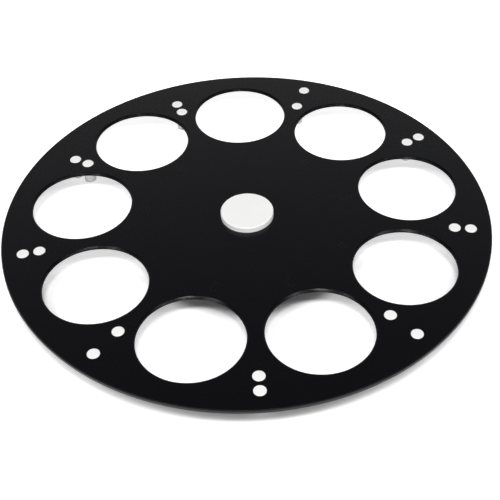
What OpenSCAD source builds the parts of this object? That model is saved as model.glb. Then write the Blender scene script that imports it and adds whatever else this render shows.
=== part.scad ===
// Nine-place filter carousel: a thin black disc with threaded filter seats, a white hub that
// holds a ball bearing, and white code pins that mark each seat for the position sensors.
// Millimetres, +Z up. The origin is on the hub axis, level with the tips of the code pins.

/* [Plate] */
// Width of the disc outside its filter seats
rim_w = 10.8; // [9:0.1:20]
// Thickness of the disc
plate_t = 2; // [1.6:0.1:3]
// Chamfer on both edges of the rim
rim_chamfer = 0.3; // [0.1:0.05:0.6]

/* [Filter seats] */
// Diameter of the circle that the seat centres lie on
seat_circle_d = 160; // [156:0.5:164]
// Major diameter of the filter thread
thread_d = 48; // [46:0.5:49]
// Pitch of the filter thread
thread_pitch = 0.75; // [0.5:0.05:1]
// Opening of the countersink beyond the thread's major diameter
countersink_over = 0.4; // [0.2:0.1:0.8]
// Depth of the countersink on each face
countersink_t = 0.35; // [0.2:0.05:0.5]
// Angle of seat 1 from the X axis
seat_1_angle = 210; // [180:1:219]

/* [Code pins] */
// Diameter of the spigot that is pressed through the disc
spigot_d = 5.5; // [4.5:0.1:5.7]
// Height of the spigot's end above the disc
spigot_rise = 0.35; // [0.1:0.05:1]
// Diameter of the pin below the disc
pin_d = 5.9; // [5.8:0.1:6.5]
// Length of the pin below the disc
pin_drop = 8; // [8:0.25:14]
// Distance from the edge of the disc to the outermost code track
track_inset = 9.75; // [6:0.25:10.5]
// Distance from one code track to the next
track_pitch = 7.5; // [7:0.25:8.25]
// Chamfer at both ends of a pin
pin_chamfer = 0.25; // [0.1:0.05:0.3]

/* [Hub] */
// Diameter of the hub where it passes through and stands above the disc
hub_d = 25; // [24.5:0.1:27]
// Height of the hub above the disc
hub_rise = 2.9; // [2.7:0.1:5]
// Thickness of the closed cap over the bearing
cap_t = 1.6; // [1.2:0.1:1.8]
// Diameter of the flange under the disc
flange_d = 40; // [34:0.5:60]
// Thickness of the flange
flange_t = 2; // [1.5:0.1:3]
// Diameter of the hub's barrel below the flange
barrel_d = 30; // [27:0.5:32]
// Thickness of the lip below the retaining ring
lip_t = 1; // [0.8:0.1:1.4]
// Chamfer on the hub's outer edges
hub_chamfer = 0.4; // [0.2:0.1:0.8]

/* [Bearing] */
// Outer diameter of the ball bearing
bearing_od = 22; // [21:0.1:22.4]
// Bore of the ball bearing
bearing_bore = 8; // [6:0.1:8.4]
// Width of the ball bearing
bearing_w = 7; // [6:0.1:7.2]
// Diameter of a ball
ball_d = 3.969; // [3.5:0.001:4]
// Diameter of the circle that the ball centres run on
ball_circle_d = 15; // [14.8:0.05:15.2]
// Gap between a ball and each raceway
race_play = 0.03; // [0.02:0.01:0.06]
// Diameter of the inner ring's shoulders
inner_land_d = 12.1; // [11.9:0.1:12.5]
// Diameter of the outer ring's shoulders
outer_land_d = 17.5; // [17.3:0.1:17.8]
// Thickness of a shield
shield_t = 0.3; // [0.2:0.05:0.4]
// Depth of a shield below the face of the bearing
shield_inset = 0.5; // [0.2:0.05:0.6]
// Gap between a shield and the inner ring
shield_gap = 0.25; // [0.2:0.05:0.35]
// Chamfer on the corners of the bearing rings
bearing_chamfer = 0.3; // [0.1:0.05:0.4]
// Inner diameter of the cage
cage_id = 13.2; // [13:0.1:13.6]
// Outer diameter of the cage
cage_od = 16.7; // [16.2:0.1:16.8]
// Gap between a ball and its cage pocket
pocket_play = 0.1; // [0.05:0.01:0.12]
// Height of the cage fingers above the ball centres
finger_h = 1.2; // [1:0.1:1.5]
// Thickness of the cage under the balls
cage_base_t = 0.4; // [0.2:0.05:0.5]

/* [Retaining ring] */
// Thickness of the retaining ring
ring_t = 1; // [0.8:0.05:1.05]
// Width of its groove
ring_groove_w = 1.1; // [1.1:0.05:1.4]
// Depth of the groove in the hub's wall
ring_groove_t = 0.5; // [0.3:0.05:0.8]
// Radial width of the ring
ring_w = 1.9; // [1.4:0.1:2.2]
// Diameter of the plier holes in its lugs
lug_hole_d = 1.3; // [1:0.1:1.5]
// Width of the wall around a plier hole
lug_wall = 0.75; // [0.6:0.05:0.9]
// Radial height of a lug
lug_depth = 3.8; // [3.2:0.1:4.2]
// Angle between the two plier holes
lug_spread = 42; // [38:1:60]

/* [Hidden] */
SEATS = 9;
BALLS = 7;
seat_step = 360 / SEATS;
seat_circle_r = seat_circle_d / 2;
thread_minor_d = thread_d - 1.0825 * thread_pitch;
countersink_d = thread_d + countersink_over;
plate_r = seat_circle_r + countersink_d / 2 + rim_w;
// Longer than any cut needs, so that no face of a cut lies on a face of the part
through = 1;

plate_z = pin_drop;
plate_top = plate_z + plate_t;
hub_top = plate_top + hub_rise;
relief_z = hub_top - cap_t;
// Depth of the space over the bearing for the end of the spindle
relief_t = 1.2;
seat_z = relief_z - relief_t;
bearing_z = seat_z - bearing_w;
groove_z = bearing_z - ring_groove_w;
hub_z = groove_z - lip_t;
// The relief leaves this much of the outer ring's face to seat on
seat_land = 1.6;
relief_r = bearing_od / 2 - seat_land;
groove_r = bearing_od / 2 + ring_groove_t;

ball_plane = bearing_z + bearing_w / 2;
ball_circle_r = ball_circle_d / 2;
raceway_r = ball_d / 2 + race_play;
shield_step = bearing_w / 2 - shield_inset - shield_t;
shield_seat_r = outer_land_d / 2 + 0.85;
cage_base_z = -ball_d / 2 - pocket_play - cage_base_t;

// Gap between the retaining ring's edge and the bottom of its groove
ring_play = 0.1;
ring_r = groove_r - ring_play;
lug_r = lug_hole_d / 2 + lug_wall;
lug_circle_r = ring_r - lug_depth + lug_r;
// The ring's ends stand tangent to its lugs
ring_gap = lug_spread / 2 - asin(lug_r / lug_circle_r);

// Chamfer inside the mouth of the bearing seat
lead_in = 0.5;

// Code tracks that carry a pin after each seat: 0 is the inner track, 2 the outer one
INNER = 0;
MIDDLE = 1;
OUTER = 2;
CODE = [
    [INNER, OUTER], [MIDDLE, OUTER], [INNER, OUTER],
    [MIDDLE, OUTER], [MIDDLE, OUTER], [INNER, OUTER],
    [INNER, MIDDLE], [INNER, MIDDLE], [MIDDLE, OUTER]
];

$fn = 96;

function seat_angle(seat) = seat_1_angle + (seat - 1) * seat_step;

// Places its children on the axis of a filter seat
module at_seat(seat) {
    rotate(seat_angle(seat)) translate([seat_circle_r, 0, 0]) children();
}

// Places its children on a code track, halfway from a seat to the next one
module at_code(seat, track) {
    rotate(seat_angle(seat) + seat_step / 2)
        translate([plate_r - track_inset - (OUTER - track) * track_pitch, 0, 0]) children();
}

// Cylinder with a 45 degree chamfer on both rims
module chamfered_disc(r, t, chamfer) {
    rotate_extrude() polygon([
        [0, 0], [r - chamfer, 0], [r, chamfer],
        [r, t - chamfer], [r - chamfer, t], [0, t]
    ]);
}

// Tapped hole at its minor diameter, countersunk on both faces of the disc
module filter_seat_cut() {
    r = thread_minor_d / 2;
    wide_r = countersink_d / 2;
    steepness = (wide_r - r) / countersink_t;
    far_r = wide_r + steepness * through;
    rotate_extrude() polygon([
        [0, -through], [far_r, -through], [r, countersink_t],
        [r, plate_t - countersink_t], [far_r, plate_t + through], [0, plate_t + through]
    ]);
}

module plate() {
    color("#1b1b1d") difference() {
        translate([0, 0, plate_z]) chamfered_disc(plate_r, plate_t, rim_chamfer, $fn = 240);
        translate([0, 0, plate_z - through]) cylinder(d = hub_d, h = plate_t + 2 * through);
        for (seat = [1 : SEATS]) {
            at_seat(seat) translate([0, 0, plate_z]) filter_seat_cut();
            for (track = CODE[seat - 1]) {
                at_code(seat, track) translate([0, 0, plate_z - through])
                    cylinder(d = spigot_d, h = plate_t + 2 * through);
            }
        }
    }
}

// Turned plastic hub: its spigot is pressed up through the disc until the flange seats
module hub() {
    hub_r = hub_d / 2;
    flange_r = flange_d / 2;
    flange_z = plate_z - flange_t;
    barrel_r = barrel_d / 2;
    seat_r = bearing_od / 2;
    c = hub_chamfer;
    color("white") rotate_extrude() polygon([
        // Outside, from the top of the cap down
        [0, hub_top], [hub_r - c, hub_top], [hub_r, hub_top - c], [hub_r, plate_z],
        [flange_r - c, plate_z], [flange_r, plate_z - c], [flange_r, flange_z + c],
        [flange_r - c, flange_z], [barrel_r, flange_z], [barrel_r, hub_z + c],
        [barrel_r - c, hub_z],
        // Inside, from the mouth up
        [seat_r + lead_in, hub_z], [seat_r, hub_z + lead_in], [seat_r, groove_z],
        [groove_r, groove_z], [groove_r, bearing_z], [seat_r, bearing_z],
        [seat_r, seat_z], [relief_r, seat_z], [relief_r, relief_z], [0, relief_z]
    ]);
}

// Code pin: the spigot fills its hole in the disc and the shoulder seats on the underside
module code_pin(seat, track) {
    r = pin_d / 2;
    spigot_r = spigot_d / 2;
    top = plate_top + spigot_rise;
    color("ghostwhite") at_code(seat, track) rotate_extrude() polygon([
        [0, 0], [r - pin_chamfer, 0], [r, pin_chamfer], [r, plate_z],
        [spigot_r, plate_z], [spigot_r, top - pin_chamfer], [spigot_r - pin_chamfer, top], [0, top]
    ]);
}

module pin_1_inner() code_pin(1, INNER);
module pin_1_outer() code_pin(1, OUTER);
module pin_2_middle() code_pin(2, MIDDLE);
module pin_2_outer() code_pin(2, OUTER);
module pin_3_inner() code_pin(3, INNER);
module pin_3_outer() code_pin(3, OUTER);
module pin_4_middle() code_pin(4, MIDDLE);
module pin_4_outer() code_pin(4, OUTER);
module pin_5_middle() code_pin(5, MIDDLE);
module pin_5_outer() code_pin(5, OUTER);
module pin_6_inner() code_pin(6, INNER);
module pin_6_outer() code_pin(6, OUTER);
module pin_7_inner() code_pin(7, INNER);
module pin_7_middle() code_pin(7, MIDDLE);
module pin_8_inner() code_pin(8, INNER);
module pin_8_middle() code_pin(8, MIDDLE);
module pin_9_middle() code_pin(9, MIDDLE);
module pin_9_outer() code_pin(9, OUTER);

// Spring-steel ring with two lugs, snapped into its groove against the bearing
module retaining_ring() {
    reach = 2 * ring_r;
    color("dimgray") translate([0, 0, bearing_z - ring_t]) linear_extrude(ring_t) difference() {
        union() {
            difference() {
                circle(r = ring_r);
                circle(r = ring_r - ring_w);
                polygon([
                    [0, 0],
                    [reach * cos(ring_gap), reach * sin(ring_gap)],
                    [reach * cos(ring_gap), -reach * sin(ring_gap)]
                ]);
            }
            for (side = [-1, 1]) rotate(side * lug_spread / 2)
                translate([lug_circle_r, 0]) circle(r = lug_r);
        }
        for (side = [-1, 1]) rotate(side * lug_spread / 2)
            translate([lug_circle_r, 0]) circle(d = lug_hole_d);
    }
}

// Ring-shaped space that the balls run in
module raceway_cut() {
    rotate_extrude() translate([ball_circle_r, 0]) circle(r = raceway_r);
}

module bearing_outer_ring() {
    r = bearing_od / 2;
    half_w = bearing_w / 2;
    land_r = outer_land_d / 2;
    c = bearing_chamfer;
    color("silver") translate([0, 0, ball_plane]) difference() {
        rotate_extrude() polygon([
            [r - c, -half_w], [r, c - half_w], [r, half_w - c], [r - c, half_w],
            [shield_seat_r, half_w], [shield_seat_r, shield_step],
            [land_r, shield_step], [land_r, -shield_step],
            [shield_seat_r, -shield_step], [shield_seat_r, -half_w]
        ]);
        raceway_cut();
    }
}

module bearing_inner_ring() {
    r = bearing_bore / 2;
    half_w = bearing_w / 2;
    land_r = inner_land_d / 2;
    c = bearing_chamfer;
    color("silver") translate([0, 0, ball_plane]) difference() {
        rotate_extrude() polygon([
            [r + c, -half_w], [land_r, -half_w], [land_r, half_w],
            [r + c, half_w], [r, half_w - c], [r, c - half_w]
        ]);
        raceway_cut();
    }
}

// Sheet ring that sits on the outer ring's step and clears the inner ring
module shield(z) {
    color("gainsboro") translate([0, 0, z]) difference() {
        cylinder(r = shield_seat_r, h = shield_t);
        translate([0, 0, -through])
            cylinder(r = inner_land_d / 2 + shield_gap, h = shield_t + 2 * through);
    }
}

module bearing_shield_top() shield(ball_plane + shield_step);
module bearing_shield_bottom() shield(ball_plane - shield_step - shield_t);

// Places its children at the centre of a ball
module at_ball(index) {
    rotate(index * 360 / BALLS) translate([ball_circle_r, 0, ball_plane]) children();
}

// Crown cage: the balls snap in between its fingers
module bearing_cage() {
    color("tan") difference() {
        translate([0, 0, ball_plane + cage_base_z]) difference() {
            cylinder(d = cage_od, h = finger_h - cage_base_z);
            translate([0, 0, -through])
                cylinder(d = cage_id, h = finger_h - cage_base_z + 2 * through);
        }
        for (index = [1 : BALLS]) at_ball(index) sphere(r = ball_d / 2 + pocket_play);
    }
}

module ball(index) {
    color("lightgray") at_ball(index) sphere(d = ball_d);
}

module bearing_ball_1() ball(1);
module bearing_ball_2() ball(2);
module bearing_ball_3() ball(3);
module bearing_ball_4() ball(4);
module bearing_ball_5() ball(5);
module bearing_ball_6() ball(6);
module bearing_ball_7() ball(7);

plate();
hub();
pin_1_inner();
pin_1_outer();
pin_2_middle();
pin_2_outer();
pin_3_inner();
pin_3_outer();
pin_4_middle();
pin_4_outer();
pin_5_middle();
pin_5_outer();
pin_6_inner();
pin_6_outer();
pin_7_inner();
pin_7_middle();
pin_8_inner();
pin_8_middle();
pin_9_middle();
pin_9_outer();
retaining_ring();
bearing_outer_ring();
bearing_inner_ring();
bearing_shield_top();
bearing_shield_bottom();
bearing_cage();
bearing_ball_1();
bearing_ball_2();
bearing_ball_3();
bearing_ball_4();
bearing_ball_5();
bearing_ball_6();
bearing_ball_7();
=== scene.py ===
"""Looks of the nine-place filter carousel: black disc, white hub and code pins, ball bearing.

Metres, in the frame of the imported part: +Z up, the hub's axis through the origin, and the tips of
the code pins at height 0.
"""

import bpy
import numpy as np
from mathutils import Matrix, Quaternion
from mathutils import Vector
from mathutils.geometry import delaunay_2d_cdt


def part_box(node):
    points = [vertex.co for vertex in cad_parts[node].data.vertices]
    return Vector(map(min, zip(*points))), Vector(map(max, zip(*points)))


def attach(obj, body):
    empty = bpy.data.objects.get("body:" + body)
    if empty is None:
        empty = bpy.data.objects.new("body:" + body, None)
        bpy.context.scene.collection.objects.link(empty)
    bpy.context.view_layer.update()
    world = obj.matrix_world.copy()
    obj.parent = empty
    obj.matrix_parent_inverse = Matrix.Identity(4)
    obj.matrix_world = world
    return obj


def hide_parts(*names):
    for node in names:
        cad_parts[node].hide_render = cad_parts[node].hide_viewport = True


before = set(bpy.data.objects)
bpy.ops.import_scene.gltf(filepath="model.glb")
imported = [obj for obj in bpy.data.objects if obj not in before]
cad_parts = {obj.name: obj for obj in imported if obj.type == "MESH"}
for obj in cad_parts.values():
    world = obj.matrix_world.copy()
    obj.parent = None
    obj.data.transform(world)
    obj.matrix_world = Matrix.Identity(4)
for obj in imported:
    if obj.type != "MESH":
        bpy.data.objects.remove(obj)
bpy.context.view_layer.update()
MM = 0.001
CAROUSEL = "carousel"
SPINDLE = "spindle_ring"
BALL_CAGE = "ball_cage"

# Disc and filter seats
PLATE_LOW, PLATE_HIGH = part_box("plate")
PLATE_R = PLATE_HIGH.x
PLATE_Z = PLATE_LOW.z
PLATE_TOP = PLATE_HIGH.z
SEATS = 9
SEAT_1_ANGLE = 210
SEAT_STEP = 360 / SEATS
SEAT_CIRCLE_R = 80 * MM
THREAD_R = 24 * MM
THREAD_PITCH = 0.75 * MM
# Depth, crest and flank slope of a 60 degree thread
THREAD_H = 0.5413 * THREAD_PITCH
THREAD_MINOR_R = THREAD_R - THREAD_H
THREAD_CREST_FLAT = THREAD_PITCH / 16
THREAD_FLANK = 1.732
COUNTERSINK_R = 24.2 * MM
COUNTERSINK_T = 0.35 * MM
RIM_CHAMFER = 0.3 * MM

# Code pins
SPIGOT_R = 2.75 * MM
PIN_CHAMFER = 0.25 * MM
PIN_MARK_R = 0.32 * MM
PIN_MARK_T = 0.16 * MM
TRACK_R = {"inner": 90.25 * MM, "middle": 97.75 * MM, "outer": 105.25 * MM}
CODE = {
    1: ("inner", "outer"),
    2: ("middle", "outer"),
    3: ("inner", "outer"),
    4: ("middle", "outer"),
    5: ("middle", "outer"),
    6: ("inner", "outer"),
    7: ("inner", "middle"),
    8: ("inner", "middle"),
    9: ("middle", "outer"),
}

# Hub
HUB_LOW, HUB_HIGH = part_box("hub")
HUB_R = 12.5 * MM
FLANGE_R = HUB_HIGH.x
FLANGE_T = 2 * MM
BARREL_R = 15 * MM
HUB_CHAMFER = 0.4 * MM
RELIEF_R = 9.4 * MM
RELIEF_T = 1.2 * MM
LEAD_IN = 0.5 * MM

# Bearing and the ring that holds it
BEARING_LOW, BEARING_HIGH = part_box("bearing_outer_ring")
BEARING_R = BEARING_HIGH.x
BEARING_Z = BEARING_LOW.z
BEARING_TOP = BEARING_HIGH.z
BALL_PLANE = (BEARING_Z + BEARING_TOP) / 2
BORE_R = 4 * MM
BALL_R = 3.969 * MM / 2
BALL_CIRCLE_R = 7.5 * MM
RACEWAY_R = BALL_R + 0.03 * MM
INNER_LAND_R = 6.05 * MM
OUTER_LAND_R = 8.75 * MM
SHIELD_SEAT_R = 9.6 * MM
SHIELD_BORE_R = 6.3 * MM
SHIELD_STEP = 2.7 * MM
SHIELD_T = 0.3 * MM
SHIELD_RIM_W = 0.9 * MM
BEARING_CHAMFER = 0.3 * MM
BALLS = 7
RING_LOW, RING_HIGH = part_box("retaining_ring")
GROOVE_Z = RING_LOW.z - 0.1 * MM
GROOVE_R = 11.5 * MM
RING_R = 11.4 * MM
RING_W = 1.9 * MM
LUG_R = 1.4 * MM
LUG_CIRCLE_R = 9.0 * MM
LUG_HOLE_R = 0.65 * MM
LUG_ANGLE = 21

# Numbers beside the seats
NUMBER_R = 49 * MM
NUMBER_H = 5.5 * MM
NUMBER_STROKE = 0.5 * MM
NUMBER_RISE = 0.008 * MM
NUMBER_T = 0.02 * MM
# Share of the rise that each further stroke of a number adds
STROKE_RISE = 0.2
# Width of a numeral as a share of its height
NUMERAL_W = 0.62

# Width of the flat strip that keeps a large face flat beside its rounded edge
HOLD = 0.06 * MM
# Width of flat face that belongs to the wall of a rim, and to the wall of a hole in the disc
RIM_STRIP = 6 * HOLD
HOLE_STRIP = 4 * HOLD

# Radius of the rounding on edges
RIM_ROUND = 0.1 * MM
SEAT_ROUND = 0.03 * MM
HOLE_ROUND = 0.05 * MM
HUB_ROUND = 0.12 * MM
SMALL_PIECE_ROUND = 0.08 * MM
SHIELD_ROUND = 0.05 * MM

# Points round a full turn
RIM_COUNT = 480
SEAT_COUNT = 144
HUB_HOLE_COUNT = 120
PIN_HOLE_COUNT = 40
HUB_COUNT = 192
PIN_COUNT = 56
RACE_COUNT = 160
SHIELD_COUNT = 128
BALL_COUNT = 48
LUG_HOLE_COUNT = 32

# Most space between two rows of points down a seat's wall
SEAT_ROW = 0.075 * MM
# Angle from which an edge is shaded sharp, in degrees
SHARP_FROM = 38
# Lengths below this are taken as none
NOTHING = 1e-9


def build(name, points, faces, body, material, nodes, local=None):
    """Piece made of an array of points and a list of arrays of faces, one face per row.

    Each point also keeps its place from the piece's own turning axis, for the lathe marks.
    """
    mesh = bpy.data.meshes.new(name)
    corners = np.concatenate([f.ravel() for f in faces])
    sizes = np.concatenate([np.full(len(f), f.shape[1]) for f in faces])
    mesh.vertices.add(len(points))
    mesh.vertices.foreach_set("co", points.ravel())
    mesh.loops.add(len(corners))
    mesh.loops.foreach_set("vertex_index", corners)
    mesh.polygons.add(len(sizes))
    mesh.polygons.foreach_set("loop_start", np.cumsum(sizes) - sizes)
    mesh.update(calc_edges=True)
    mesh.shade_smooth()
    mesh.set_sharp_from_angle(angle=np.radians(SHARP_FROM))
    turned = mesh.attributes.new("turned", "FLOAT_VECTOR", "POINT")
    turned.data.foreach_set("vector", (points if local is None else local).ravel())
    piece = bpy.data.objects.new(name, mesh)
    bpy.context.scene.collection.objects.link(piece)
    for finish in material if isinstance(material, list) else [material]:
        mesh.materials.append(finish)
    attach(piece, body)
    if nodes:
        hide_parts(*nodes)
    return piece


def around(count):
    """Cosines and sines of angles evenly spaced round a full turn."""
    angle = np.arange(count) * 2 * np.pi / count
    return np.stack([np.cos(angle), np.sin(angle)], axis=-1)


def arc(centre, radii, start, end, count=9):
    """Points of an ellipse's arc: the centre plus the radii times cosine and sine of the angle."""
    angle = np.radians(np.linspace(start, end, count))
    return np.asarray(centre) + np.asarray(radii) * np.stack([np.cos(angle), np.sin(angle)], axis=-1)


def rounded(corners, radius, closed=False, steps=4):
    """Line through the corners with each one rounded by the arc that touches both of its sides.

    The touching points lie radius times the tangent of half the turn from the corner. One more
    point stands a little before and after each arc, so that flat sides stay flat when smoothed.
    Both keep to a share of the shorter side. An open line keeps its two ends as they are.
    """
    arc_share = 0.4
    hold_share = 0.1
    p = np.asarray(corners, float)
    before, at, after = (np.roll(p, 1, 0), p, np.roll(p, -1, 0)) if closed else (p[:-2], p[1:-1], p[2:])
    back, ahead = before - at, after - at
    back_len = np.linalg.norm(back, axis=1)
    ahead_len = np.linalg.norm(ahead, axis=1)
    back = back / back_len[:, None]
    ahead = ahead / ahead_len[:, None]
    turn = np.pi - np.arccos(np.clip((back * ahead).sum(1), -1, 1))
    shorter = np.minimum(back_len, ahead_len)
    reach = np.minimum(radius * np.tan(turn / 2), arc_share * shorter)
    hold = np.minimum(HOLD, hold_share * shorter)
    inward = (back + ahead) / np.linalg.norm(back + ahead, axis=1)[:, None]
    centre = at + inward * (reach / np.sin(turn / 2))[:, None]
    first = at + back * reach[:, None] - centre
    last = at + ahead * reach[:, None] - centre
    share = np.linspace(0, 1, steps + 1)[None, :, None]
    bend = turn[:, None, None]
    sweep = np.sin((1 - share) * bend) * first[:, None] + np.sin(share * bend) * last[:, None]
    curve = centre[:, None] + sweep / np.sin(bend)
    entry = (at + back * (reach + hold)[:, None])[:, None]
    leave = (at + ahead * (reach + hold)[:, None])[:, None]
    line = np.concatenate([entry, curve, leave], axis=1).reshape(-1, 2)
    return line if closed else np.concatenate([p[:1], line, p[-1:]])


def anticlockwise(section):
    """The section, turned round if its signed area is negative."""
    r, z = section[:, 0], section[:, 1]
    area = (r * np.roll(z, -1) - z * np.roll(r, -1)).sum()
    return section if area > 0 else section[::-1]


def quads(index, closed_rows=False):
    """Faces between the rows and the round columns of a grid of point numbers."""
    if closed_rows:
        index = np.concatenate([index, index[:1]])
    ahead = np.roll(index, -1, axis=1)
    return np.stack([index[:-1], ahead[:-1], ahead[1:], index[1:]], axis=-1).reshape(-1, 4)


def revolve(section, count, centre=(0, 0, 0)):
    """Surface of revolution: point (r, z) goes to (r cos a, r sin a, z) from the centre.

    A section whose two ends lie on the axis gets one point at each pole. Any other is a closed
    loop, and its surface is a ring.
    """
    section = anticlockwise(section)
    poles = section[0, 0] < NOTHING and section[-1, 0] < NOTHING
    rows = section[1:-1] if poles else section
    circle = around(count)
    ring = np.empty((len(rows), count, 3))
    ring[..., :2] = rows[:, 0, None, None] * circle[None]
    ring[..., 2] = rows[:, 1, None]
    points = ring.reshape(-1, 3)
    index = np.arange(len(points)).reshape(len(rows), count)
    faces = [quads(index, closed_rows=not poles)]
    if poles:
        ends = np.array([[0, 0, section[0, 1]], [0, 0, section[-1, 1]]])
        low, high = len(points), len(points) + 1
        points = np.concatenate([points, ends])
        first, last = index[0], index[-1]
        faces.append(np.stack([np.full(count, low), np.roll(first, -1), first], axis=-1))
        faces.append(np.stack([last, np.roll(last, -1), np.full(count, high)], axis=-1))
    return points + np.asarray(centre), faces, points


def circle_outline(centre, radius, count):
    """Points of a circle and the direction out of it at each point."""
    out = around(count)
    return np.asarray(centre) + radius * out, out


def line_outline(points):
    """A closed anticlockwise line and the direction out of it: its tangent, turned by 90 degrees."""
    ahead = np.roll(points, -1, 0) - np.roll(points, 1, 0)
    ahead /= np.linalg.norm(ahead, axis=1)[:, None]
    return points, np.stack([ahead[:, 1], -ahead[:, 0]], axis=-1)


def wall(outline, section):
    """Grid of points: each point of the outline moved out by the section's offset, at its height.

    The section is (offset, z), or has one offset for each point of the outline.
    """
    line, out = outline
    offset, z = section
    offset = np.broadcast_to(offset if offset.ndim == 2 else offset[:, None], (len(z), len(line)))
    grid = np.empty((len(z), len(line), 3))
    grid[..., :2] = line[None] + offset[..., None] * out[None]
    grid[..., 2] = z[:, None]
    return grid


def covered(points, loops):
    """Whether each point lies in the flat area: a ray from it crosses the loops an odd number of times."""
    start = np.concatenate(loops)
    end = np.concatenate([np.roll(loop, -1, 0) for loop in loops])
    x, y = points[:, 0, None], points[:, 1, None]
    spans = (start[:, 1] > y) != (end[:, 1] > y)
    rise = np.where(end[:, 1] == start[:, 1], 1, end[:, 1] - start[:, 1])
    crossing = start[:, 0] + (y - start[:, 1]) * (end[:, 0] - start[:, 0]) / rise
    return (spans & (x < crossing)).sum(1) % 2 == 1


def cut_sheet(outer, holes):
    """Flat piece with holes: a wall round each outline, and two faces triangulated between them.

    Outer and holes are walls from the top face to the underside. Each starts and ends on the same
    flat outline, so both faces have the same triangles.
    """
    walls = [outer, *holes]
    loops = [w[0, :, :2] for w in walls]
    sizes = [w.shape[0] * w.shape[1] for w in walls]
    starts = np.cumsum([0, *sizes[:-1]])
    index = [s + np.arange(n).reshape(w.shape[:2]) for s, n, w in zip(starts, sizes, walls)]
    flat = np.concatenate(loops)
    firsts = np.cumsum([0, *[len(loop) for loop in loops[:-1]]])
    edges = np.concatenate([
        np.stack([f + np.arange(len(p)), f + np.roll(np.arange(len(p)), -1)], axis=-1)
        for f, p in zip(firsts, loops)
    ])
    made = delaunay_2d_cdt([Vector(p) for p in flat.tolist()], edges.tolist(), [], 0, NOTHING, True)
    origin = np.array([ids[0] for ids in made[3]])
    triangles = origin[np.array(made[2])]
    triangles = triangles[covered(flat[triangles].mean(1), loops)]
    top = np.concatenate([i[0] for i in index])
    bottom = np.concatenate([i[-1] for i in index])
    faces = [quads(index[0][::-1])]
    faces += [quads(i) for i in index[1:]]
    faces += [top[triangles], bottom[triangles[:, ::-1]]]
    return np.concatenate([w.reshape(-1, 3) for w in walls]), faces


def resampled(section, step):
    """The section with more points wherever two neighbours are further apart than the step.

    A new point is left out if it is nearer to an old one than a share of the step.
    """
    too_near = 0.3
    length = np.concatenate([[0], np.cumsum(np.linalg.norm(np.diff(section, axis=0), axis=1))])
    every = np.arange(0, length[-1], step)
    every = every[np.abs(every[:, None] - length).min(1) > too_near * step]
    at = np.union1d(length, every)
    return np.stack([np.interp(at, length, section[:, 0]), np.interp(at, length, section[:, 1])], axis=-1)


def seat_direction(seat, turn=0):
    """Unit vector from the hub's axis to a seat, or turned from it by part of a step."""
    angle = np.radians(SEAT_1_ANGLE + (seat - 1 + turn) * SEAT_STEP)
    return np.array([np.cos(angle), np.sin(angle)])


def seat_wall(seat):
    """Threaded seat: the radius is the larger of the countersunk section's and the thread's.

    The thread's radius falls from its root at both flanks by the flank's slope times the distance
    along the axis, and is cut off at the root flat and at the minor radius. The distance is
    measured from the nearest turn of a helix that rises one pitch per turn, right-handed.
    """
    section = rounded([
        (COUNTERSINK_R + HOLE_STRIP, PLATE_TOP),
        (COUNTERSINK_R, PLATE_TOP),
        (THREAD_MINOR_R, PLATE_TOP - COUNTERSINK_T),
        (THREAD_MINOR_R, PLATE_Z + COUNTERSINK_T),
        (COUNTERSINK_R, PLATE_Z),
        (COUNTERSINK_R + HOLE_STRIP, PLATE_Z),
    ], SEAT_ROUND, steps=2)
    section = resampled(section, SEAT_ROW)
    radius, z = section[:, 0, None], section[:, 1, None]
    turn = np.arange(SEAT_COUNT)[None] / SEAT_COUNT
    place = z / THREAD_PITCH - turn
    from_helix = np.abs(place - np.floor(place) - 0.5) * THREAD_PITCH
    depth = THREAD_H - (from_helix - THREAD_CREST_FLAT) * THREAD_FLANK
    thread = THREAD_MINOR_R + np.clip(depth, 0, THREAD_H)
    radius = np.maximum(radius, thread)
    outline = circle_outline(SEAT_CIRCLE_R * seat_direction(seat), 0, SEAT_COUNT)
    return wall(outline, (radius, section[:, 1]))


def hole_wall(centre, radius, count):
    """Plain hole through the disc with a small rounded edge on each face."""
    section = rounded([
        (radius + HOLE_STRIP, PLATE_TOP),
        (radius, PLATE_TOP),
        (radius, PLATE_Z),
        (radius + HOLE_STRIP, PLATE_Z),
    ], HOLE_ROUND, steps=2)
    return wall(circle_outline(centre, 0, count), (section[:, 0], section[:, 1]))


def pin_centre(seat, track):
    """Centre of a code pin, half a step after its seat."""
    return TRACK_R[track] * seat_direction(seat, 0.5)


def make_plate(satin, edge, thread):
    """Disc: a chamfered rim outside, and nine threaded seats, eighteen pin holes and one hub hole.

    The rim's faces come first and the seats' next, and each group has its own finish; the seats' finish is
    a darker, less glossy copy of the disc's, which paints shade on their walls.
    """
    section = rounded([
        (PLATE_R - RIM_CHAMFER - RIM_STRIP, PLATE_TOP),
        (PLATE_R - RIM_CHAMFER, PLATE_TOP),
        (PLATE_R, PLATE_TOP - RIM_CHAMFER),
        (PLATE_R, PLATE_Z + RIM_CHAMFER),
        (PLATE_R - RIM_CHAMFER, PLATE_Z),
        (PLATE_R - RIM_CHAMFER - RIM_STRIP, PLATE_Z),
    ], RIM_ROUND, steps=3)
    outer = wall(circle_outline((0, 0), 0, RIM_COUNT), (section[:, 0], section[:, 1]))
    holes = [seat_wall(seat) for seat in range(1, SEATS + 1)]
    for seat, tracks in CODE.items():
        holes += [hole_wall(pin_centre(seat, track), SPIGOT_R, PIN_HOLE_COUNT) for track in tracks]
    holes += [hole_wall((0, 0), HUB_R, HUB_HOLE_COUNT)]
    points, faces = cut_sheet(outer, holes)
    piece = build("disc", points, faces, CAROUSEL, [satin, edge, thread], ["plate"])
    sizes = [len(made) for made in faces]
    rim_end = sizes[0]
    seats_end = sum(sizes[:1 + SEATS])
    finish = np.zeros(sum(sizes), int)
    finish[:rim_end] = 1
    # The seats' walls take the darker copy of the anodise: painted shade inside the seats
    finish[rim_end:seats_end] = 2
    piece.data.polygons.foreach_set("material_index", finish)


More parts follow.
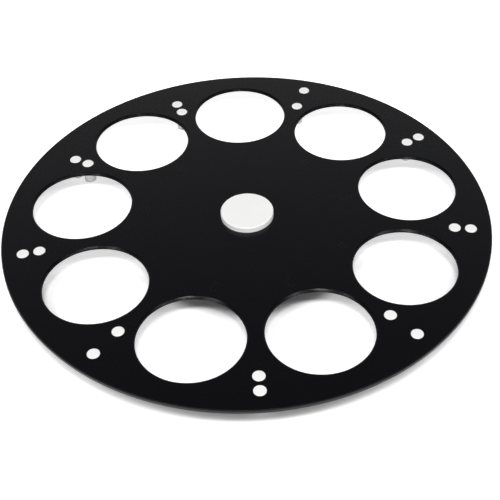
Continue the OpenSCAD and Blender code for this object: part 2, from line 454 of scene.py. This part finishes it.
def make_hub(material):
    """Turned hub: its section from the cap down the outside and up the inside, revolved."""
    flange_z = PLATE_Z - FLANGE_T
    relief_z = BEARING_TOP + RELIEF_T
    c = HUB_CHAMFER
    section = rounded([
        (0, HUB_HIGH.z),
        (HUB_R - c, HUB_HIGH.z),
        (HUB_R, HUB_HIGH.z - c),
        (HUB_R, PLATE_Z),
        (FLANGE_R - c, PLATE_Z),
        (FLANGE_R, PLATE_Z - c),
        (FLANGE_R, flange_z + c),
        (FLANGE_R - c, flange_z),
        (BARREL_R, flange_z),
        (BARREL_R, HUB_LOW.z + c),
        (BARREL_R - c, HUB_LOW.z),
        (BEARING_R + LEAD_IN, HUB_LOW.z),
        (BEARING_R, HUB_LOW.z + LEAD_IN),
        (BEARING_R, GROOVE_Z),
        (GROOVE_R, GROOVE_Z),
        (GROOVE_R, BEARING_Z),
        (BEARING_R, BEARING_Z),
        (BEARING_R, BEARING_TOP),
        (RELIEF_R, BEARING_TOP),
        (RELIEF_R, relief_z),
        (0, relief_z),
    ], HUB_ROUND)
    points, faces, local = revolve(section, HUB_COUNT)
    build("turned_hub", points, faces, CAROUSEL, material, ["hub"], local)


def make_pin(seat, track, material):
    """Code pin: shouldered and chamfered section, revolved, with a small centre mark in its head."""
    node = f"pin_{seat}_{track}"
    low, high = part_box(node)
    x, y = pin_centre(seat, track)
    pin_r = (high.x - low.x) / 2
    c = PIN_CHAMFER
    section = rounded([
        (0, high.z - PIN_MARK_T),
        (PIN_MARK_R, high.z),
        (SPIGOT_R - c, high.z),
        (SPIGOT_R, high.z - c),
        (SPIGOT_R, PLATE_Z),
        (pin_r, PLATE_Z),
        (pin_r, low.z + c),
        (pin_r - c, low.z),
        (0, low.z),
    ], SMALL_PIECE_ROUND)
    points, faces, local = revolve(section, PIN_COUNT, (x, y, 0))
    build(f"code_{node}", points, faces, CAROUSEL, material, [node], local)


def make_retaining_ring(material):
    """Retaining ring: an arc band whose ends turn in to two round lugs with plier holes.

    The band ends on the line from the axis that touches a lug. The lug meets the band's inside at
    the angle that the law of cosines gives for the two radii and the lug's distance from the axis.
    """
    band_in = RING_R - RING_W
    tangent = np.degrees(np.arcsin(LUG_R / LUG_CIRCLE_R))
    end = LUG_ANGLE - tangent
    squares = band_in**2 + LUG_CIRCLE_R**2 - LUG_R**2
    meet = np.degrees(np.arccos(squares / (2 * band_in * LUG_CIRCLE_R)))
    lug = LUG_CIRCLE_R * np.array([np.cos(np.radians(LUG_ANGLE)), np.sin(np.radians(LUG_ANGLE))])
    joint = np.radians(LUG_ANGLE + meet)
    to_joint = band_in * np.array([np.cos(joint), np.sin(joint)]) - lug
    joint_angle = np.degrees(np.arctan2(to_joint[1], to_joint[0]))
    outside = arc((0, 0), (RING_R, RING_R), end, 360 - end, 121)
    lug_low = arc(lug * (1, -1), (LUG_R, LUG_R), 90 - end, 360 - joint_angle, 25)
    inside = arc((0, 0), (band_in, band_in), -(LUG_ANGLE + meet), LUG_ANGLE + meet - 360, 101)
    lug_high = arc(lug, (LUG_R, LUG_R), joint_angle, end + 270, 25)
    line = np.concatenate([outside, lug_low, inside[1:-1], lug_high])
    section = rounded([
        (-RIM_STRIP, RING_HIGH.z),
        (0, RING_HIGH.z),
        (0, RING_LOW.z),
        (-RIM_STRIP, RING_LOW.z),
    ], SMALL_PIECE_ROUND)
    outer = wall(line_outline(line), (section[:, 0], section[:, 1]))
    holes = [
        wall(circle_outline(lug * (1, side), LUG_HOLE_R, LUG_HOLE_COUNT), (-section[:, 0], section[:, 1]))
        for side in (-1, 1)
    ]
    points, faces = cut_sheet(outer, holes)
    build("snap_ring", points, faces, CAROUSEL, material, ["retaining_ring"])


def raceway(edge_r, bend_out):
    """Groove that the balls run in: the arc of a circle on the ball circle, between its two edges."""
    half = np.degrees(np.arccos(np.clip(abs(edge_r - BALL_CIRCLE_R) / RACEWAY_R, 0, 1)))
    start, end = (-half, half) if bend_out else (180 + half, 180 - half)
    return arc((BALL_CIRCLE_R, BALL_PLANE), (RACEWAY_R, RACEWAY_R), start, end, 17)


def make_bearing_rings(material):
    """Bearing rings: ground sections with chamfered corners and a round raceway, revolved."""
    c = BEARING_CHAMFER
    upper, lower = BALL_PLANE + SHIELD_STEP, BALL_PLANE - SHIELD_STEP
    outside = rounded([
        (OUTER_LAND_R, lower + SHIELD_STEP / 2),
        (OUTER_LAND_R, lower),
        (SHIELD_SEAT_R, lower),
        (SHIELD_SEAT_R, BEARING_Z),
        (BEARING_R - c, BEARING_Z),
        (BEARING_R, BEARING_Z + c),
        (BEARING_R, BEARING_TOP - c),
        (BEARING_R - c, BEARING_TOP),
        (SHIELD_SEAT_R, BEARING_TOP),
        (SHIELD_SEAT_R, upper),
        (OUTER_LAND_R, upper),
        (OUTER_LAND_R, upper - SHIELD_STEP / 2),
    ], SMALL_PIECE_ROUND)
    section = np.concatenate([outside[1:-1], raceway(OUTER_LAND_R, True)[::-1]])
    points, faces, local = revolve(section, RACE_COUNT)
    build("outer_race", points, faces, CAROUSEL, material, ["bearing_outer_ring"], local)
    inside = rounded([
        (INNER_LAND_R, BALL_PLANE + SHIELD_STEP / 2),
        (INNER_LAND_R, BEARING_TOP),
        (BORE_R + c, BEARING_TOP),
        (BORE_R, BEARING_TOP - c),
        (BORE_R, BEARING_Z + c),
        (BORE_R + c, BEARING_Z),
        (INNER_LAND_R, BEARING_Z),
        (INNER_LAND_R, BALL_PLANE - SHIELD_STEP / 2),
    ], SMALL_PIECE_ROUND)
    section = np.concatenate([inside[1:-1], raceway(INNER_LAND_R, False)])
    points, faces, local = revolve(section, RACE_COUNT)
    build("inner_race", points, faces, SPINDLE, material, ["bearing_inner_ring"], local)


def make_shield(side, material):
    """Pressed shield: a thin section that steps in by a third of its depth, revolved."""
    near, far = SHIELD_STEP, SHIELD_STEP + SHIELD_T
    step = SHIELD_T / 3
    bend = SHIELD_SEAT_R - SHIELD_RIM_W
    section = rounded([
        (SHIELD_BORE_R, near),
        (SHIELD_SEAT_R, near),
        (SHIELD_SEAT_R, far),
        (bend + step, far),
        (bend, far - step),
        (SHIELD_BORE_R + step, far - step),
        (SHIELD_BORE_R, far - 2 * step),
    ], SHIELD_ROUND, closed=True)
    name = "shield_top" if side > 0 else "shield_bottom"
    node = f"bearing_{name}"
    section = section * (1, side) + (0, BALL_PLANE)
    points, faces, local = revolve(section, SHIELD_COUNT)
    build(f"pressed_{name}", points, faces, CAROUSEL, material, [node], local)


def make_ball(number, material):
    """Ball: half a circle about its own upright axis, revolved."""
    angle = np.radians(number * 360 / BALLS)
    x, y = BALL_CIRCLE_R * np.cos(angle), BALL_CIRCLE_R * np.sin(angle)
    section = arc((0, BALL_PLANE), (BALL_R, BALL_R), -90, 90, 25)
    section[[0, -1], 0] = 0
    points, faces, local = revolve(section, BALL_COUNT, (x, y, 0))
    node = f"bearing_ball_{number}"
    build(f"ball_{number}", points, faces, BALL_CAGE, material, [node], local)


def numeral(number):
    """Strokes of a numeral, each a line in a box NUMERAL_W wide and 1 high, and whether it is closed.

    A nine is a six turned by half a turn.
    """
    if number == 1:
        return [(np.array([(0.12, 0.78), (0.36, 1), (0.36, 0)]), False)]
    if number == 2:
        bow = arc((0.31, 0.7), (0.3, 0.3), 165, -38, 21)
        return [(np.concatenate([bow, [(0, 0), (0.62, 0)]]), False)]
    if number == 3:
        upper = arc((0.3, 0.76), (0.26, 0.24), 150, -80, 19)
        lower = arc((0.3, 0.27), (0.31, 0.27), 80, -150, 21)
        return [(np.concatenate([upper, lower]), False)]
    if number == 4:
        return [
            (np.array([(0.64, 0.28), (0, 0.28), (0.46, 1)]), False),
            (np.array([(0.46, 1), (0.46, 0)]), False),
        ]
    if number == 5:
        bowl = arc((0.29, 0.32), (0.32, 0.32), 138, -148, 23)
        return [(np.concatenate([[(0.56, 1), (0.1, 1)], bowl]), False)]
    if number == 7:
        return [(np.array([(0, 1), (0.62, 1), (0.2, 0)]), False)]
    if number == 8:
        return [
            (arc((0.31, 0.76), (0.25, 0.24), -90, 255, 24), True),
            (arc((0.31, 0.27), (0.31, 0.27), 90, 435, 24), True),
        ]
    six = [
        (arc((0.31, 0.3), (0.31, 0.3), 180, 525, 24), True),
        (arc((0.62, 0.3), (0.62, 0.7), 180, 104, 15), False),
    ]
    if number == 6:
        return six
    return [((NUMERAL_W, 1) - line, closed) for line, closed in six]


def stroke(line, closed, width, z_low, z_high):
    """Flat ribbon of rectangular section along a line: each point moves out to both sides.

    A side point lies half the width from the line, divided by the cosine of half the corner's turn,
    which counts as no less than a half.
    """
    least_cosine = 0.5
    if closed:
        ahead = np.roll(line, -1, 0) - line
        behind = np.roll(ahead, 1, 0)
    else:
        step = np.diff(line, axis=0)
        ahead = np.concatenate([step, step[-1:]])
        behind = np.concatenate([step[:1], step])
    ahead = ahead / np.linalg.norm(ahead, axis=1)[:, None]
    behind = behind / np.linalg.norm(behind, axis=1)[:, None]
    along = ahead + behind
    along /= np.linalg.norm(along, axis=1)[:, None]
    side = np.stack([along[:, 1], -along[:, 0]], axis=-1)
    reach = width / 2 / np.clip((along * ahead).sum(1), least_cosine, 1)
    right = line + side * reach[:, None]
    left = line - side * reach[:, None]
    grid = np.empty((len(line), 4, 3))
    grid[:, :, :2] = np.stack([left, left, right, right], axis=1)
    grid[:, :, 2] = (z_low, z_high, z_high, z_low)
    index = np.arange(4 * len(line)).reshape(-1, 4)
    faces = [quads(index, closed_rows=closed)]
    if not closed:
        faces.append(np.stack([index[0, ::-1], index[-1]]))
    return grid.reshape(-1, 3), faces


def make_number(number, material):
    """Marked number between the hub and its seat: thin ribbons just above the disc, top outward.

    Each stroke stands a little higher than the one before it, so that no two faces share a plane.
    """
    out = seat_direction(number)
    right = np.array([out[1], -out[0]])
    scale = NUMBER_H - NUMBER_STROKE
    points, faces, first = [], [], 0
    for order, (line, closed) in enumerate(numeral(number)):
        z_high = PLATE_TOP + NUMBER_RISE * (1 + STROKE_RISE * order)
        grid, made = stroke(line * scale, closed, NUMBER_STROKE, z_high - NUMBER_T, z_high)
        points.append(grid)
        faces += [f + first for f in made]
        first += len(grid)
    local = np.concatenate(points)
    flat = local[:, :2] - scale * np.array([NUMERAL_W / 2, 0.5])
    place = NUMBER_R * out + flat[:, :1] * right + flat[:, 1:] * out
    points = np.concatenate([place, local[:, 2:]], axis=1)
    build(f"number_{number}", points, faces, CAROUSEL, material, [])


def surface(name, metallic, specular):
    """New material with one principled shader, and what is needed to add nodes to it."""
    material = bpy.data.materials.new(name)
    material.use_nodes = True
    tree = material.node_tree
    shader = tree.nodes["Principled BSDF"]
    shader.inputs["Metallic"].default_value = metallic
    shader.inputs["Specular IOR Level"].default_value = specular
    return material, tree, shader


def place_of(tree, turned):
    """Where a pattern is read: from the piece's own turning axis, or from the object's coordinates."""
    if turned:
        node = tree.nodes.new("ShaderNodeAttribute")
        node.attribute_name = "turned"
        return node.outputs["Vector"]
    return tree.nodes.new("ShaderNodeTexCoord").outputs["Object"]


def speckle(tree, place, size, detail):
    """Noise with features of about the given size, in metres."""
    node = tree.nodes.new("ShaderNodeTexNoise")
    node.inputs["Scale"].default_value = 1 / size
    node.inputs["Detail"].default_value = detail
    tree.links.new(place, node.inputs["Vector"])
    return node.outputs["Fac"]


def lathe_rings(tree, place, spacing, wobble):
    """Fine rings round the turning axis, a given distance apart.

    The wave texture has one ring for every 2 pi / 20 at a scale of 1.
    """
    node = tree.nodes.new("ShaderNodeTexWave")
    node.wave_type = "RINGS"
    node.rings_direction = "Z"
    node.inputs["Scale"].default_value = 2 * np.pi / (20 * spacing)
    node.inputs["Distortion"].default_value = wobble
    node.inputs["Detail"].default_value = 1
    tree.links.new(place, node.inputs["Vector"])
    return node.outputs["Fac"]


def between(tree, value, low, high, start=0, end=1):
    """A value from start to end, spread in proportion between two other numbers."""
    node = tree.nodes.new("ShaderNodeMapRange")
    node.inputs["From Min"].default_value = start
    node.inputs["From Max"].default_value = end
    node.inputs["To Min"].default_value = low
    node.inputs["To Max"].default_value = high
    tree.links.new(value, node.inputs["Value"])
    return node.outputs["Result"]


def blended(tree, value, low, high):
    """A colour between two, by a value from 0 to 1."""
    node = tree.nodes.new("ShaderNodeMix")
    node.data_type = "RGBA"
    node.inputs["A"].default_value = (*low, 1)
    node.inputs["B"].default_value = (*high, 1)
    tree.links.new(value, node.inputs["Factor"])
    return node.outputs["Result"]


def by_stops(tree, value, stops):
    """Level read from stops of (value, level), straight between two of them."""
    first, last = stops[0][0], stops[-1][0]
    ramp = tree.nodes.new("ShaderNodeValToRGB")
    elements = ramp.color_ramp.elements
    while len(elements) < len(stops):
        elements.new(0.5)
    for element, (stop, level) in zip(elements, stops):
        element.position = (stop - first) / (last - first)
        element.color = (level, level, level, 1)
    tree.links.new(between(tree, value, 0, 1, first, last), ramp.inputs["Fac"])
    return ramp.outputs["Color"]


def combined(tree, operation, first, second):
    """Result of a mathematical operation on two values. The second may be a plain number."""
    node = tree.nodes.new("ShaderNodeMath")
    node.operation = operation
    tree.links.new(first, node.inputs[0])
    if isinstance(second, float):
        node.inputs[1].default_value = second
    else:
        tree.links.new(second, node.inputs[1])
    return node.outputs[0]


def relief(tree, shader, height, distance, strength, under=None):
    """Bump of a real depth in metres. It may stand on an earlier one."""
    node = tree.nodes.new("ShaderNodeBump")
    node.inputs["Distance"].default_value = distance
    node.inputs["Strength"].default_value = strength
    tree.links.new(height, node.inputs["Height"])
    if under:
        tree.links.new(under, node.inputs["Normal"])
    tree.links.new(node.outputs["Normal"], shader.inputs["Normal"])
    return node.outputs["Normal"]


def black_anodise(name, dark, light, rough, specular, grain):
    """Dyed anodised aluminium: blasted grain, slow change of the dye, and finely varied gloss."""
    material, tree, shader = surface(name, metallic=0, specular=specular)
    place = place_of(tree, turned=False)
    cloud = speckle(tree, place, size=14 * MM, detail=2)
    fine = speckle(tree, place, size=grain, detail=4)
    tree.links.new(blended(tree, cloud, dark, light), shader.inputs["Base Color"])
    tree.links.new(between(tree, fine, *rough), shader.inputs["Roughness"])
    relief(tree, shader, fine, distance=0.003 * MM, strength=0.15)
    return material


def white_plastic(name, dark, light, rough, ring_spacing):
    """Turned white plastic: faint lathe rings, slight cloudiness and a soft waxy gloss."""
    material, tree, shader = surface(name, metallic=0, specular=0.4)
    place = place_of(tree, turned=True)
    cloud = speckle(tree, place, size=5 * MM, detail=2)
    fine = speckle(tree, place, size=0.15 * MM, detail=3)
    rings = lathe_rings(tree, place, ring_spacing, wobble=0.6)
    tree.links.new(blended(tree, cloud, dark, light), shader.inputs["Base Color"])
    tree.links.new(between(tree, fine, *rough), shader.inputs["Roughness"])
    under = relief(tree, shader, rings, distance=0.003 * MM, strength=0.4)
    relief(tree, shader, fine, distance=0.002 * MM, strength=0.3, under=under)
    return material


def turned_steel(name, dark, light, rough, ring_spacing):
    """Bare steel: fine marks round the axis and varied gloss."""
    material, tree, shader = surface(name, metallic=1, specular=0.5)
    place = place_of(tree, turned=True)
    cloud = speckle(tree, place, size=2 * MM, detail=3)
    fine = speckle(tree, place, size=0.06 * MM, detail=3)
    rings = lathe_rings(tree, place, ring_spacing, wobble=1.5)
    tree.links.new(blended(tree, cloud, dark, light), shader.inputs["Base Color"])
    tree.links.new(between(tree, rings, *rough), shader.inputs["Roughness"])
    under = relief(tree, shader, rings, distance=0.001 * MM, strength=0.4)
    relief(tree, shader, fine, distance=0.0006 * MM, strength=0.3, under=under)
    return material


def phosphate_coat(name, dark, light, rough):
    """Phosphated spring steel: a dark coat of fine crystals, unevenly grey, with a dull gloss."""
    material, tree, shader = surface(name, metallic=0, specular=0.5)
    place = place_of(tree, turned=False)
    cloud = speckle(tree, place, size=0.8 * MM, detail=4)
    fine = speckle(tree, place, size=0.04 * MM, detail=4)
    tree.links.new(blended(tree, cloud, dark, light), shader.inputs["Base Color"])
    tree.links.new(between(tree, fine, *rough), shader.inputs["Roughness"])
    relief(tree, shader, fine, distance=0.003 * MM, strength=0.6)
    return material


def moulded_nylon(name, dark, light, rough):
    """Glass-filled nylon: mottled colour and a fine rough skin."""
    material, tree, shader = surface(name, metallic=0, specular=0.35)
    place = place_of(tree, turned=False)
    cloud = speckle(tree, place, size=1.2 * MM, detail=4)
    fine = speckle(tree, place, size=0.05 * MM, detail=3)
    tree.links.new(blended(tree, cloud, dark, light), shader.inputs["Base Color"])
    tree.links.new(between(tree, fine, *rough), shader.inputs["Roughness"])
    relief(tree, shader, fine, distance=0.002 * MM, strength=0.5)
    return material


# Floor
FLOOR_COLOUR = 0.92
FLOOR_HALF = 6
FLOOR_GAP = 0.02 * MM
# A ray shorter than this comes from a face that stands on the floor
FLOOR_TOUCH = 0.1 * MM
# Painted glow of the floor by the distance from the hub's axis: painted light in rings where the disc is
# open and outside it, and none under its closed parts and round its rim, so that the floor's shadow shows
# only there
OPEN_PAINTED_GLOW = 0.36
AXIS_PAINTED_GLOW = [
    (0, 0),
    (54 * MM, 0),
    (59 * MM, OPEN_PAINTED_GLOW),
    (98 * MM, OPEN_PAINTED_GLOW),
    (104 * MM, 0),
    (108 * MM, 0),
    (114 * MM, OPEN_PAINTED_GLOW),
    (200 * MM, 0.5),
    (400 * MM, 1),
]
# Least painted glow by the place along Y, from the front of the hub to the back of the disc: painted light
# that washes out the floor's shadow towards the back
BACK_PAINTED_GLOW = [(-38 * MM, 0), (-18 * MM, 0.55), (40 * MM, 0.55), (80 * MM, 0.8)]


def make_floor():
    """Pale floor just under the pins, which keeps the object's shadow only where its painted glow is low.

    Its glow is painted light, only for the camera, gloss and glass. The glow is the larger of two levels:
    one for the length of the vector from the hub's axis, and one for the place along Y. The floor is clear
    from below, and clear for the light of the faces that stand on it, so that they show from there.
    """
    mesh = bpy.data.meshes.new("floor")
    ways = [(-1, -1), (1, -1), (1, 1), (-1, 1)]
    corners = [(FLOOR_HALF * x, FLOOR_HALF * y, -FLOOR_GAP) for x, y in ways]
    mesh.from_pydata(corners, [], [(0, 1, 2, 3)])
    floor = bpy.data.objects.new("floor", mesh)
    bpy.context.scene.collection.objects.link(floor)
    material, tree, shader = surface("pale_floor", metallic=0, specular=0)
    shader.inputs["Base Color"].default_value = (FLOOR_COLOUR,) * 3 + (1,)
    shader.inputs["Roughness"].default_value = 1
    shader.inputs["Emission Color"].default_value = (1, 1, 1, 1)
    ray = tree.nodes.new("ShaderNodeLightPath").outputs
    seen = combined(tree, "MAXIMUM", ray["Is Camera Ray"], ray["Is Glossy Ray"])
    seen = combined(tree, "MAXIMUM", seen, ray["Is Transmission Ray"])
    place = place_of(tree, turned=False)
    away = tree.nodes.new("ShaderNodeVectorMath")
    away.operation = "LENGTH"
    tree.links.new(place, away.inputs[0])
    split = tree.nodes.new("ShaderNodeSeparateXYZ")
    tree.links.new(place, split.inputs[0])
    from_axis = by_stops(tree, away.outputs["Value"], AXIS_PAINTED_GLOW)
    from_front = by_stops(tree, split.outputs["Y"], BACK_PAINTED_GLOW)
    # Painted light on the floor: the larger of the two painted glows, laid out round the disc's open and
    # closed parts
    glow = combined(tree, "MAXIMUM", from_axis, from_front)
    tree.links.new(combined(tree, "MULTIPLY", glow, seen), shader.inputs["Emission Strength"])
    below = tree.nodes.new("ShaderNodeNewGeometry").outputs["Backfacing"]
    touching = combined(tree, "LESS_THAN", ray["Ray Length"], FLOOR_TOUCH)
    clear = tree.nodes.new("ShaderNodeBsdfTransparent")
    mixed = tree.nodes.new("ShaderNodeMixShader")
    tree.links.new(combined(tree, "MAXIMUM", below, touching), mixed.inputs[0])
    tree.links.new(shader.outputs[0], mixed.inputs[1])
    tree.links.new(clear.outputs[0], mixed.inputs[2])
    tree.links.new(mixed.outputs[0], tree.nodes["Material Output"].inputs["Surface"])
    mesh.materials.append(material)


# Sky level by the sine of the height: bright low down and dim above
SKY = [(-1.0, 1.0), (0.0, 1.0), (0.45, 0.68), (0.62, 0.27), (0.76, 0.0), (1.0, 0.0)]
# Share of that level in front, and where along Y the share starts and stops rising to one
SKY_FRONT_SHARE = 0.25
SKY_FRONT_Y = -0.5
SKY_BACK_Y = 0.3


def make_sky():
    """Studio light from all round, and plain white for the camera.

    The light's strength is a function of the height that a ray points to, times a share that rises
    in a straight line from the front to the back.
    """
    world = bpy.data.worlds.new("studio")
    bpy.context.scene.world = world
    world.use_nodes = True
    tree = world.node_tree
    back = tree.nodes["Background"]
    place = tree.nodes.new("ShaderNodeTexCoord")
    split = tree.nodes.new("ShaderNodeSeparateXYZ")
    tree.links.new(place.outputs["Generated"], split.inputs[0])
    height = by_stops(tree, split.outputs["Z"], SKY)
    share = between(tree, split.outputs["Y"], SKY_FRONT_SHARE, 1, SKY_FRONT_Y, SKY_BACK_Y)
    ray = tree.nodes.new("ShaderNodeLightPath").outputs
    white = tree.nodes.new("ShaderNodeMix")
    white.data_type = "RGBA"
    tree.links.new(ray["Is Camera Ray"], white.inputs["Factor"])
    tree.links.new(combined(tree, "MULTIPLY", height, share), white.inputs["A"])
    white.inputs["B"].default_value = (1, 1, 1, 1)
    tree.links.new(white.outputs["Result"], back.inputs["Color"])
    back.inputs["Strength"].default_value = 1


# Soft lamps: name, place, side and power
LAMPS = [
    ("lamp_over", (0, -0.55, 1.42), 0.3, 8.6),
    ("lamp_left", (-0.70, -0.45, 1.24), 0.4, 6.6),
    ("lamp_right", (0.70, -0.45, 1.24), 0.4, 5.4),
    ("lamp_front_left", (-0.60, -1.35, 0.22), 0.5, 4.2),
    ("lamp_front_right", (0.60, -1.35, 0.22), 0.5, 6.0),
]


def make_lamp(name, place, size, power):
    """Square soft lamp that points at the hub."""
    light = bpy.data.lights.new(name, "AREA")
    light.shape = "SQUARE"
    light.size = size
    light.energy = power
    lamp = bpy.data.objects.new(name, light)
    bpy.context.scene.collection.objects.link(lamp)
    lamp.location = place
    lamp.rotation_euler = (-Vector(place)).to_track_quat("-Z", "Y").to_euler()


# Camera: where it stands, the point on the disc it is aimed at, its roll in degrees, and its lens
EYE = Vector((-0.006765, -0.351632, 0.326295))
AIM = Vector((0.013660, -0.025296, 0.010))
ROLL = -0.769
SENSOR_WIDTH = 36
LENS = 71.586
SHIFT_X = -0.05942
NEAREST_SEEN = 0.01
FURTHEST_SEEN = 50


def make_camera():
    """Camera that looks from the eye to the aim, turned by the roll about its own axis."""
    data = bpy.data.cameras.new("camera")
    data.sensor_width = SENSOR_WIDTH
    data.lens = LENS
    data.shift_x = SHIFT_X
    data.clip_start = NEAREST_SEEN
    data.clip_end = FURTHEST_SEEN
    camera = bpy.data.objects.new("camera", data)
    bpy.context.scene.collection.objects.link(camera)
    camera.location = EYE
    camera.rotation_mode = "QUATERNION"
    level = (AIM - EYE).to_track_quat("-Z", "Y")
    camera.rotation_quaternion = level @ Quaternion((0, 0, 1), np.radians(ROLL))
    bpy.context.scene.camera = camera


satin_black = black_anodise(
    "satin_black_anodise",
    dark=(0.0028, 0.0028, 0.0039),
    light=(0.0036, 0.0036, 0.0047),
    rough=(0.24, 0.30),
    specular=0.24,
    grain=0.12 * MM,
)
edge_black = black_anodise(
    "turned_edge_anodise",
    dark=(0.0024, 0.0024, 0.0034),
    light=(0.0036, 0.0036, 0.0047),
    rough=(0.30, 0.42),
    specular=0.30,
    grain=0.08 * MM,
)
# Darker, less glossy copy of the disc's anodise for the seat walls: painted shade inside the seats
thread_black_painted_shade = black_anodise(
    "cut_thread_anodise_painted_shade",
    dark=(0.0022, 0.0022, 0.0030),
    light=(0.0032, 0.0032, 0.0042),
    rough=(0.20, 0.28),
    specular=0.14,
    grain=0.06 * MM,
)
mark_grey = black_anodise(
    "marked_anodise",
    dark=(0.0046, 0.0046, 0.0057),
    light=(0.0056, 0.0056, 0.0067),
    rough=(0.26, 0.34),
    specular=0.24,
    grain=0.1 * MM,
)
acetal = white_plastic(
    "turned_acetal",
    dark=(0.86, 0.86, 0.85),
    light=(0.90, 0.90, 0.89),
    rough=(0.32, 0.42),
    ring_spacing=0.12 * MM,
)
nylon = white_plastic(
    "turned_nylon",
    dark=(0.84, 0.84, 0.83),
    light=(0.90, 0.90, 0.89),
    rough=(0.38, 0.50),
    ring_spacing=0.10 * MM,
)
ground_steel = turned_steel(
    "ground_steel",
    dark=(0.55, 0.55, 0.56),
    light=(0.66, 0.66, 0.67),
    rough=(0.16, 0.28),
    ring_spacing=0.05 * MM,
)
ball_steel = turned_steel(
    "lapped_steel",
    dark=(0.62, 0.62, 0.63),
    light=(0.70, 0.70, 0.71),
    rough=(0.05, 0.09),
    ring_spacing=0.30 * MM,
)
shield_steel = turned_steel(
    "rolled_steel",
    dark=(0.44, 0.44, 0.45),
    light=(0.58, 0.58, 0.58),
    rough=(0.28, 0.42),
    ring_spacing=0.20 * MM,
)
ring_steel = phosphate_coat(
    "phosphated_steel",
    dark=(0.020, 0.020, 0.022),
    light=(0.045, 0.044, 0.045),
    rough=(0.35, 0.55),
)
cage_nylon = moulded_nylon(
    "filled_nylon",
    dark=(0.42, 0.33, 0.20),
    light=(0.55, 0.45, 0.30),
    rough=(0.45, 0.60),
)

bpy.context.scene.view_settings.view_transform = "Standard"
make_camera()
make_floor()
make_sky()
for lamp_facts in LAMPS:
    make_lamp(*lamp_facts)

make_plate(satin_black, edge_black, thread_black_painted_shade)
make_hub(acetal)
for pin_seat, pin_tracks in CODE.items():
    for pin_track in pin_tracks:
        make_pin(pin_seat, pin_track, nylon)
for seat_number in range(1, SEATS + 1):
    make_number(seat_number, mark_grey)
make_retaining_ring(ring_steel)
make_bearing_rings(ground_steel)
make_shield(1, shield_steel)
make_shield(-1, shield_steel)
for ball_number in range(1, BALLS + 1):
    make_ball(ball_number, ball_steel)
for cad_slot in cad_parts["bearing_cage"].material_slots:
    cad_slot.material = cage_nylon
